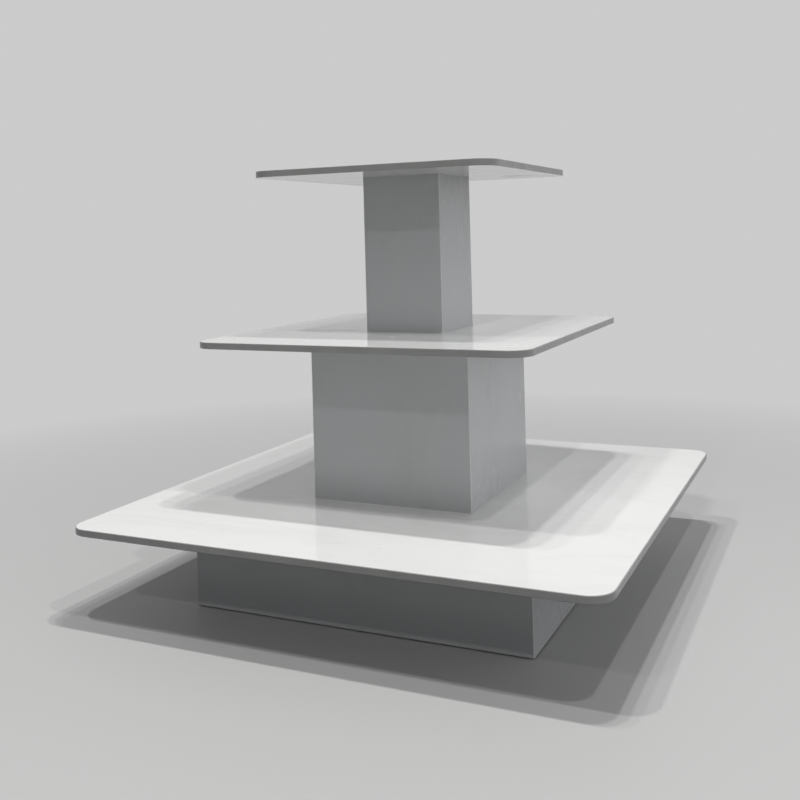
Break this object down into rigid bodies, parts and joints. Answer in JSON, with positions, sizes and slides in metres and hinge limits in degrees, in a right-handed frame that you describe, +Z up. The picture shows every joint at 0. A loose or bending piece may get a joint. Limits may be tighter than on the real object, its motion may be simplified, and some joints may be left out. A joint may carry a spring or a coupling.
{
  "type": "tiered display table",
  "caption": "Free-standing tiered shop display table: square white slabs with rounded corners on stacked square grey plinths, each upper tier lifting off.",
  "frame": {"origin": "centre of the footprint at floor level, the bottom faces of the glides", "axes": "+Z up, front face -Y, right side +X; the three tiers share the Z axis"},
  "size_m": [1.2, 1.2, 0.995],
  "materials": {
    "slab_board": "fibreboard faced both sides in high-gloss white",
    "edge_band": "grey gloss edge band",
    "plinth_panel": "fibreboard faced in satin light grey",
    "tongue_plywood": "raw birch plywood",
    "frame_timber": "planed softwood",
    "divider_board": "raw fibreboard",
    "screw_steel": "zinc plated",
    "glide_nylon": "moulded nylon"
  },
  "bodies": {
    "base_tier": {"base_slab": "slab_board", "base_slab_edge_band": "edge_band", "base_front_panel": "plinth_panel", "base_right_panel": "plinth_panel", "base_back_panel": "plinth_panel", "base_left_panel": "plinth_panel", "base_mitre_tongues": "tongue_plywood", "base_corner_posts": "frame_timber", "base_slab_rails": "frame_timber", "base_floor_rails": "frame_timber", "base_front_divider": "divider_board", "base_back_divider": "divider_board", "base_left_divider": "divider_board", "base_right_divider": "divider_board", "base_slab_screws": "screw_steel", "base_glides": "glide_nylon", "base_slab_cleats": "frame_timber", "base_cleat_screws": "screw_steel"},
    "middle_tier": {"middle_slab": "slab_board", "middle_slab_edge_band": "edge_band", "middle_front_panel": "plinth_panel", "middle_right_panel": "plinth_panel", "middle_back_panel": "plinth_panel", "middle_left_panel": "plinth_panel", "middle_mitre_tongues": "tongue_plywood", "middle_corner_posts": "frame_timber", "middle_slab_rails": "frame_timber", "middle_slab_screws": "screw_steel", "middle_slab_cleats": "frame_timber", "middle_cleat_screws": "screw_steel"},
    "top_tier": {"top_slab": "slab_board", "top_slab_edge_band": "edge_band", "top_front_panel": "plinth_panel", "top_right_panel": "plinth_panel", "top_back_panel": "plinth_panel", "top_left_panel": "plinth_panel", "top_mitre_tongues": "tongue_plywood", "top_corner_posts": "frame_timber", "top_slab_rails": "frame_timber", "top_slab_screws": "screw_steel"}
  },
  "joints": [
    {"name": "middle_tier_lift", "type": "slide", "parent": "base_tier", "child": "middle_tier", "axis": [0, 0, 1], "range_m": [0, 0.06]},
    {"name": "top_tier_lift", "type": "slide", "parent": "middle_tier", "child": "top_tier", "axis": [0, 0, 1], "range_m": [0, 0.06]}
  ]
}
